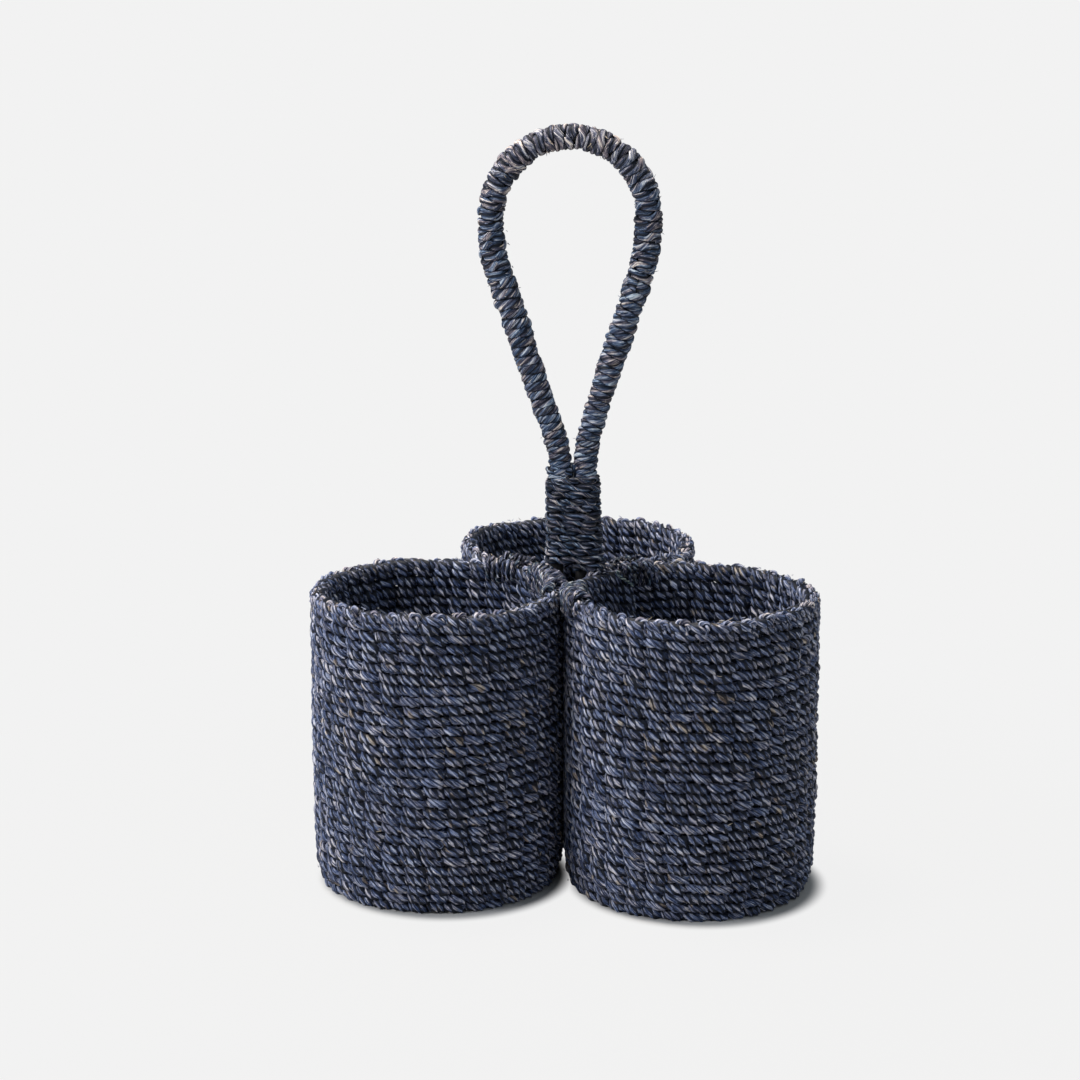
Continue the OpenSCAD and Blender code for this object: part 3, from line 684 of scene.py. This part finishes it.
def loopBinding(name, node, first, last, lobe, plies, seed):
    # turn n winds once round the core; its place along the core, its height over it and its slant
    # all wander a little
    n = np.linspace(first, last, int((last - first) * binding["ringsPerTurn"]) + 1)
    shifted = n + binding["placeVary"] * smoothRandom(seed + 1, n, 0.8)
    leftSide = n < halfTurns
    m = np.clip(np.where(leftSide, shifted, 2 * halfTurns - shifted), 0, halfTurns)
    q = turnPlace(m)
    x, z, heading = halfLine(q)
    sign = np.where(leftSide, 1, -1)
    turning = 2 * math.pi * n
    along, direction = loopFrame(heading, sign, turning)
    room = np.where(m < legTurns, legTurn + turnGrowth * m / legTurns, bowTurn)
    coreRadius = handle["core"] / 2
    half = (boundRadius(q) - coreRadius) / 2
    # the outside of a bend is longer than its middle line by the radius times the bend's curvature
    room = room * (1 + bendOf(q) * (coreRadius + half) * np.sin(turning))
    slow, quick = binding["thickVary"]
    thick = varied(slow, seed + 2, n, 0.9) + quick * smoothRandom(seed + 3, n, 0.22)
    z = z - legTurn * np.maximum(0, np.maximum(-n, n - 2 * halfTurns))
    # the left side bulges a little more than the right one
    x = x + handle["sway"] * leftSide * np.exp(-((z - handle["swayHeight"]) / binding["swayLong"]) ** 2)
    # the fork stands a little to the right, as the post does
    aboveFork = z - partingHeight - binding["asideFrom"]
    aside = handle["forkAside"] * (1 - smooth(aboveFork / binding["asideLong"]))
    centre = np.stack([aside - sign * x, 0 * n + handleY, z], -1)
    high = coreRadius + half * varied(binding["highVary"], seed + 4, n, 0.5)
    centre = centre + direction * high[:, None]
    centre = centre + along * (binding["slantVary"] * room * np.sin(turning + seed))[:, None]
    twist = twisted(centre, lobe, seed + 5, spread=binding["twistVary"], plies=plies)
    reachOut, reachAlong = binding["reachOut"], binding["reachAlong"]
    if plies == 2:
        twist, reachOut, reachAlong = pressed(twist)
    piece = cordPiece(name, centre, direction, along, binding["fullOut"] * half * thick / reachOut,
                      binding["fullAlong"] * room * thick / (0.5 + 0.5 * reachAlong), twist,
                      plySection(binding["sides"], binding["apart"], plies), seed,
                      ridge=binding["ridge"], room=room)
    return finishPiece(piece, "binding", node)


allTurns = 2 * halfTurns
for name, first, last, lobe, plies, seed in (
        ("left_leg", -binding["under"], legTurns, binding["legLobe"], 3, 510),
        ("left_bow", legTurns, halfTurns, binding["bowLobe"], 2, 520),
        ("right_bow", halfTurns, allTurns - legTurns, binding["bowLobe"], 2, 530),
        ("right_leg", allTurns - legTurns, allTurns + binding["under"], binding["legLobe"], 3, 540)):
    loopBinding(f"{name}_cord", f"{name}_binding", first, last, lobe, plies, seed)

# Post: a cord wound round both legs, deeper than it is high
post = {"low": 145.78, "turns": 13, "cord": 4.6, "flare": 1.5, "ringsPerTurn": 72, "lobe": 8.0,
        "fillDepth": 3.3, "fillWidth": 8.9, "lean": 2.5, "taper": 0.9, "sink": 2.4, "clear": 0.3,
        "flareTurns": 3, "highVary": 0.25, "riseVary": 0.45, "thickVary": 0.13, "flatness": 4,
        "crossTurns": 2.2, "crossIn": 1.2, "crossTall": 2.2, "crossFade": 0.3, "tuck": 1.6, "tuckTurns": 2,
        "straighten": 0.45, "fullOut": 1.05, "fullAlong": 0.56}


def postBinding(seed):
    # each turn runs across the front, round one leg, across the back and round the other: a circle
    # whose middle is pushed sideways by the spacing of the legs; the last turns cross under the fork
    n = np.linspace(0, post["turns"], post["turns"] * post["ringsPerTurn"] + 1)
    turning = 2 * math.pi * n
    pitch = (partingHeight - post["low"]) / post["turns"]
    cord = post["cord"] - post["taper"] * n / post["turns"]
    reach = (handle["core"] / 2 + post["clear"] + cord / 2
             + post["flare"] * np.maximum(0, 1 - n / post["flareTurns"]) ** 2
             + post["highVary"] * smoothRandom(seed + 1, n, 0.45)
             - post["sink"] * (smooth(1 - n / 0.2) + smooth(1 - (post["turns"] - n) / 0.3)))
    direction = np.stack([np.sin(turning), -np.cos(turning), 0 * n], -1)
    flat = post["flatness"]
    middle = np.tanh(flat * np.sin(turning)) / math.tanh(flat) * legX
    crossing = smooth((n - post["turns"] + post["crossTurns"]) / post["crossIn"])
    height = (post["low"] + pitch * n + post["riseVary"] * smoothRandom(seed + 2, n, 0.7)
              + crossing * post["crossTall"] * np.sin(turning + math.pi * n)
              * (1 - post["crossFade"] * crossing))
    tucked = smooth(n - post["turns"] + post["tuckTurns"])
    height = height - post["tuck"] * tucked * np.maximum(0, np.sin(turning))
    middle = middle + post["lean"] * (1 - post["straighten"] * n / post["turns"])
    centre = np.stack([middle, handleY + 0 * n, height], -1) + direction * reach[:, None]
    up = np.broadcast_to(upright, centre.shape)
    thick = varied(post["thickVary"], seed + 3, n, 0.5)
    twist = twisted(centre, post["lobe"], seed + 4, spread=binding["twistVary"])
    twist, reachOut, reachAlong = pressed(twist)
    piece = cordPiece("post_cord", centre, direction, up, post["fullOut"] * cord / 2 * thick / reachOut,
                      post["fullAlong"] * pitch * thick / (0.5 + 0.5 * reachAlong), twist,
                      plySection(binding["sides"], binding["apart"]), seed,
                      ridge=binding["ridge"], room=pitch + 0 * n)
    return finishPiece(piece, "binding", "post_binding", look="post")


postBinding(550)


def postFilling():
    # stuff packed between the legs under the cord: an oval rod, as deep as a leg and as wide as both
    height = np.linspace(post["low"] + 0.6, partingHeight + 3.5, 24)
    path = np.stack([0 * height, handleY + 0 * height, height], -1)
    out = np.broadcast_to(np.array([1.0, 0, 0]), path.shape)
    up = np.broadcast_to(np.array([0, 1.0, 0]), path.shape)
    angle = np.linspace(0, 2 * math.pi, 28, endpoint=False)
    piece = cordPiece("post_filling", path, out, up, post["fillWidth"], post["fillDepth"], 0 * height,
                      (angle, 1 - 0.12 * np.cos(4 * angle) ** 2, 0.5 + 0 * angle), 560, ridge=0.02)
    return finishPiece(piece, "binding", look="post")


postFilling()
print("handle bound")

# Ties
tie = {
    "half": 1.1, "coilHalf": 1.42, "lobe": 4.4, "rimTurns": 6, "rimReach": [9.4, 8.7, 8.7],
    "rimLow": 133.6, "rimHigh": 145.3, "rimSide": 8.9, "footHeight": 15, "footTall": 12,
    "legHeights": [42, 118], "backDrop": 6, "innerReach": 9.6, "corner": 0.45, "coilHeight": 139.6,
    "coilTall": 6.0, "coilDeep": 5.0, "coilOut": 0.3, "coilCorner": 0.6, "sag": [6.5, 4.0, 4.0],
    "sagWide": 4.2, "thickVary": 0.12, "ringsPerTurn": 30, "stitchRings": 60, "legLobes": 12,
    "endAt": 15.0, "endTurn": -9.0, "endIn": 4.6, "endTop": 143.0, "endLong": 8.8, "endHalf": 0.75,
    "endLobe": 2.6, "clear": 0.3, "nearOver": 1.4,
}
tieSection = plySection(12, 0.43)


def fromPocket(k, points):
    # a point of pocket k's own frame, whose +X points at the next pocket round
    turn = pocketTurn(k)
    x, y = points[..., 0], points[..., 1]
    return pocketCentre(k) + np.stack([x * math.cos(turn) - y * math.sin(turn),
                                       x * math.sin(turn) + y * math.cos(turn), points[..., 2]], -1)


def coilPiece(name, path, middleLine, n, room, seed):
    # twine along a path, its section set square to the way to the coil's middle
    out, up = framed(path, path - middleLine)
    half = tie["coilHalf"] * varied(tie["thickVary"], seed + 3, n, 0.5)
    return cordPiece(name, path, out, up, half, half, twisted(path, tie["lobe"], seed + 4),
                     tieSection, seed, room=room + 0 * n)


def rimTie(k, name, seed):
    # coils round both rims, side by side, sagging a little between the two
    n = np.linspace(0, tie["rimTurns"], tie["rimTurns"] * tie["ringsPerTurn"] + 1)
    c, s = squared(2 * math.pi * n + math.pi, tie["corner"])
    middle, tall = (tie["rimLow"] + tie["rimHigh"]) / 2, (tie["rimHigh"] - tie["rimLow"]) / 2
    x = c * (tie["rimReach"][k] + 0.35 * smoothRandom(seed, n, 0.5))
    z = middle + s * tall + 0.4 * smoothRandom(seed + 1, n, 0.4)
    z = z - tie["sag"][k] * np.exp(-(x / tie["sagWide"]) ** 2) * (s > 0)
    v = tie["rimSide"] * (2 * n / tie["rimTurns"] - 1) + 0.35 * smoothRandom(seed + 2, n, 0.6)
    path = fromPocket(k, np.stack([spacing / 2 + x, v, z], -1))
    middleLine = fromPocket(k, np.stack([spacing / 2 + 0 * x, v, middle + 0 * z], -1))
    piece = coilPiece(name, path, middleLine, n, 2 * tie["rimSide"] / tie["rimTurns"], seed)
    return finishPiece(piece, "tie", name.replace("_lashing", "_tie"))


def rimCoils(k, name, first, last, turns, seed):
    # coils round one rim alone: an oblong round its section, carried on along the rim as it winds
    n = np.linspace(0, turns, turns * tie["ringsPerTurn"] + 1)
    c, s = squared(2 * math.pi * n - math.pi / 2, tie["coilCorner"])
    angle = np.radians(first + (last - first) * n / turns + 0.5 * smoothRandom(seed, n, 0.6))
    radius = stakeRadius + tie["coilOut"] + (tie["coilDeep"] + 0.3 * smoothRandom(seed + 1, n, 0.5)) * c
    z = tie["coilHeight"] + (tie["coilTall"] + 0.35 * smoothRandom(seed + 2, n, 0.5)) * s
    path = fromPocket(k, np.stack([radius * np.cos(angle), radius * np.sin(angle), z], -1))
    middleLine = fromPocket(k, np.stack([stakeRadius * np.cos(angle), stakeRadius * np.sin(angle),
                                         tie["coilHeight"] + 0 * z], -1))
    room = stakeRadius * math.radians(abs(last - first)) / turns
    piece = coilPiece(name, path, middleLine, n, room, seed)
    return finishPiece(piece, "tie")


def stitchPiece(name, path, lobes, seed):
    # twine round a closed stitch, with a whole number of lobes so that its end meets its start
    out, up = framed(path, path - path.mean(-2, keepdims=True))
    twist = -math.pi * lobes * np.linspace(0, 1, tie["stitchRings"])
    return cordPiece(name, path, out, up, tie["half"], tie["half"], twist, tieSection, seed, closed=True)


def stitchPath(nearX, farX, halfWide):
    # a closed stitch: a circle pushed out to a rounded oblong
    angle = np.linspace(0, 2 * math.pi, tie["stitchRings"], endpoint=False)
    c, s = squared(angle, tie["corner"])
    return (nearX + farX) / 2 + (farX - nearX) / 2 * c, halfWide * s


for k, sideName in enumerate(["front", "right", "left"]):
    rimTie(k, f"{sideName}_rim_lashing", 600 + 10 * k)
    x, z = stitchPath(-tie["innerReach"], tie["innerReach"], tie["footTall"] / 2)
    path = fromPocket(k, np.stack([spacing / 2 + x, 0 * x, tie["footHeight"] + tie["footTall"] / 2 + z], -1))
    lobes = np.round(lengthAlong(path)[-1] / tie["lobe"])
    finishPiece(stitchPiece(f"{sideName}_foot_stitch", path, lobes, 640 + k), "tie", f"{sideName}_foot_tie")


def twineEnd(k, seed):
    # one end of the twine hangs down the inside of the wall beside its lashing
    share = np.linspace(0, 1, 24)
    angle = np.radians(tie["endAt"] + tie["endTurn"] * share + 1.5 * np.sin(5 * share))
    radius = stakeRadius - tie["endIn"] + 0.5 * np.sin(9 * share)
    z = tie["endTop"] - tie["endLong"] * share
    path = fromPocket(k, np.stack([radius * np.cos(angle), radius * np.sin(angle), z], -1))
    out, up = framed(path, fromPocket(k, np.zeros((1, 3))) - path)
    piece = cordPiece("right_twine_end", path, out, up, tie["endHalf"], tie["endHalf"],
                      twisted(path, tie["endLobe"], seed), tieSection, seed)
    return finishPiece(piece, "tie", look="teal")


rimCoils(0, "left_rim_coils", 40, 2, 13, 630)
rimCoils(1, "right_rim_coils", 60, 86, 9, 635)
twineEnd(1, 638)


def legTie(k, direction, far, halfWide, drop, seed):
    # two closed stitches, through the wall and round what stands at distance far
    inner = stakeRadius - pocket["wall"] / 2
    near = math.sqrt(inner ** 2 - (halfWide + tie["half"]) ** 2) - tie["nearOver"]
    x, y = stitchPath(near, far, halfWide)
    c, s = math.cos(math.radians(direction)), math.sin(math.radians(direction))
    flat = np.stack([x * c - y * s, x * s + y * c, 0 * x], -1)
    path = fromPocket(k, np.stack([flat + [0, 0, h - drop] for h in tie["legHeights"]]))
    piece = stitchPiece(f"{names[k]}_leg_stitches", path, tie["legLobes"], seed)
    return finishPiece(piece, "tie", f"{names[k]}_leg_tie")


legReach = handle["core"] / 2 + tie["clear"] + tie["half"]
frontFar = (spacing / 2 - legX) / math.cos(math.radians(handle["direction"])) + legReach
legTie(0, handle["direction"], frontFar, legReach, 0, 660)
legTie(1, 60 - handle["direction"], frontFar, legReach, 0, 670)
legTie(2, 30, gapRadius - legY + legReach, legX + legReach, tie["backDrop"], 680)
print("ties made")

# Loose fibres: thin curved hairs that stand off the binding, the rims and the walls
hair = {
    "half": 0.19, "rings": 6, "onLoop": 150, "onRim": 60, "onWall": 60, "length": 2.3,
    "lengthVary": (0.5, 1.2), "lift": (0.12, 0.45), "curl": (-0.5, 0.5), "thickVary": (0.7, 1.4),
    "taper": 0.7, "under": 0.3, "rimHeights": (141.5, 144.0), "wallHeights": (4, 138), "wallUnder": 0.35,
}


def hairPiece(name, node, roots, ahead, off, seed):
    # each hair starts under the surface, runs ahead and curls off and sideways with the square of its run
    dice = np.random.default_rng(seed)
    count = len(roots)
    share = np.linspace(0, 1, hair["rings"])[None, :, None]
    run = (hair["length"] * dice.uniform(*hair["lengthVary"], count))[:, None, None]
    side = np.cross(ahead, off)
    lift = dice.uniform(*hair["lift"], count)[:, None, None]
    curl = dice.uniform(*hair["curl"], count)[:, None, None]
    path = (roots[:, None] + run * (ahead[:, None] * share + off[:, None] * (lift * share ** 1.5)
                                    + side[:, None] * (curl * share ** 2)))
    outward, up = framed(path, np.broadcast_to(off[:, None], path.shape))
    thin = 1 - hair["taper"] * share[..., 0] ** 3
    half = hair["half"] * dice.uniform(*hair["thickVary"], count)[:, None] * thin
    section = (np.radians([0, 90, 180, 270]), np.array([1.0, 0.8, 1.0, 0.8]), np.full(4, 0.5))
    piece = cordPiece(name, path, outward, up, half, half, 0 * half, section, seed)
    return finishPiece(piece, node, look="hair")


def loopHairs(seed):
    dice = np.random.default_rng(seed)
    q = dice.uniform(0, halfLength, hair["onLoop"])
    sign = dice.choice([-1.0, 1.0], hair["onLoop"])
    turning = dice.uniform(0, 2 * math.pi, hair["onLoop"])
    x, z, heading = halfLine(q)
    along, off = loopFrame(heading, 1, turning)
    ahead = unit(np.cross(along, off) + 0.25 * dice.normal(size=off.shape))
    roots = np.stack([-x, handleY + 0 * x, z], -1) + off * (boundRadius(q) - hair["under"])[:, None]
    flip = np.stack([sign, 1 + 0 * sign, 1 + 0 * sign], -1)
    return hairPiece("loop_loose_fibres", "binding", roots * flip, ahead * flip, off * flip, seed)


def pocketHairs(k, seed):
    dice = np.random.default_rng(seed)
    count = hair["onRim"] + hair["onWall"]
    rim = np.arange(count) < hair["onRim"]
    angle = dice.uniform(0, 2 * math.pi, count)
    height = np.where(rim, dice.uniform(*hair["rimHeights"], count),
                      dice.uniform(*hair["wallHeights"], count))
    out = outwards(angle)
    ahead = np.stack([-np.sin(angle), np.cos(angle), 0.35 * dice.normal(size=count)], -1)
    ahead = unit(ahead * dice.choice([-1.0, 1.0], count)[:, None])
    off = np.where(rim[:, None], [0, 0, 1.0], out)
    radius = np.where(rim, stakeRadius + dice.uniform(-1, 1, count),
                      pocket["diameter"] / 2 - hair["wallUnder"])
    roots = pocketCentre(k) + out * radius[:, None] + upright * height[:, None]
    return hairPiece(f"{names[k]}_loose_fibres", "weft", roots, ahead, off, seed)


loopHairs(700)
for k in range(3):
    pocketHairs(k, 710 + k)
print("loose fibres set")

# Stage: a pale floor under soft light, and the camera at the photograph's place
stage = {"floor": 6.0, "pale": (0.888, 0.888, 0.888, 1), "near": (0.0545, 0.0640), "far": (0.12, 0.35),
         "keep": 0.03, "shadowAt": np.array([4.0, -3.0, 0])}
bpy.ops.mesh.primitive_circle_add(vertices=96, radius=stage["floor"], fill_type="NGON")
floor = bpy.context.object
floor.name = "stage_floor"
material, flow = newMaterial("pale floor")
place = flow.node("TexCoord", output=3)


def awayFrom(point):
    return flow.node("VectorMath", {"operation": "DISTANCE"}, {0: place, 1: tuple(point)}, 1)


away = awayFrom(mm * (pocketCentre(0) + stage["shadowAt"]))
for k in (1, 2):
    away = away.math("MINIMUM", away, awayFrom(mm * (pocketCentre(k) + stage["shadowAt"])))
# the camera sees the lit floor close to the pockets, a little of it farther out, then plain paper
paper = away.above(*stage["near"]) * (1 - stage["keep"] * (1 - away.above(*stage["far"])))
seen = flow.node("LightPath", output="Is Camera Ray")
blended = flow.node("MixShader", inputs={
    0: paper * seen,
    1: flow.node("BsdfDiffuse", inputs={"Color": (0.48, 0.48, 0.48, 1)}),
    2: flow.node("Emission", inputs={"Color": stage["pale"], "Strength": 1.0})})
flow.node("OutputMaterial", inputs={"Surface": blended})
floor.data.materials.append(material)

world = bpy.data.worlds.new("soft room")
bpy.context.scene.world = world
world.use_nodes = True
world.node_tree.nodes.clear()
sky = Flow(world.node_tree)
seenRay = sky.node("LightPath", output="Is Camera Ray")
seenSky = sky.node("Background", inputs={"Color": stage["pale"], "Strength": 1.0})
litSky = sky.node("Background", inputs={"Color": (0.85, 0.94, 1.0, 1), "Strength": 0.25})
sky.node("OutputWorld", inputs={
    "Surface": sky.node("MixShader", inputs={0: seenRay, 1: litSky, 2: seenSky})})


def areaLight(name, place, size, power, colour):
    lamp = bpy.data.lights.new(name, "AREA")
    lamp.shape = "DISK"
    lamp.size = size
    lamp.energy = power
    lamp.color = colour
    holder = bpy.data.objects.new(name, lamp)
    bpy.context.scene.collection.objects.link(holder)
    holder.location = place
    aim = np.array([0, 0, 0.12]) - np.array(place)
    holder.rotation_euler = (math.atan2(math.hypot(aim[0], aim[1]), -aim[2]), 0,
                             math.atan2(aim[1], aim[0]) - math.pi / 2)


areaLight("key", (-0.58, -0.43, 0.46), 0.32, 3.45, (0.98, 0.98, 1.0))
areaLight("top", (-0.25, 0.05, 1.30), 0.4, 20.0, (1.0, 0.91, 0.80))
areaLight("fill", (1.40, -0.80, 0.9), 1.4, 4.0, (0.90, 0.96, 1.0))

shot = {"lens": 78.3, "aside": -14.1, "away": 1110, "height": 410.6, "pitch": 12.8, "turn": 4.5}
camera = bpy.data.objects.new("camera", bpy.data.cameras.new("camera"))
bpy.context.scene.collection.objects.link(camera)
turn = math.radians(shot["turn"])
camera.location = (mm * (shot["aside"] * math.cos(turn) + shot["away"] * math.sin(turn)),
                   mm * (gapY + shot["aside"] * math.sin(turn) - shot["away"] * math.cos(turn)),
                   mm * shot["height"])
camera.rotation_euler = (math.pi / 2 - math.radians(shot["pitch"]), 0, turn)
camera.data.lens = shot["lens"]
camera.data.sensor_width = 36
camera.data.clip_start = 0.05
bpy.context.scene.camera = camera
bpy.context.scene.view_settings.view_transform = "Standard"

print("scene ready")
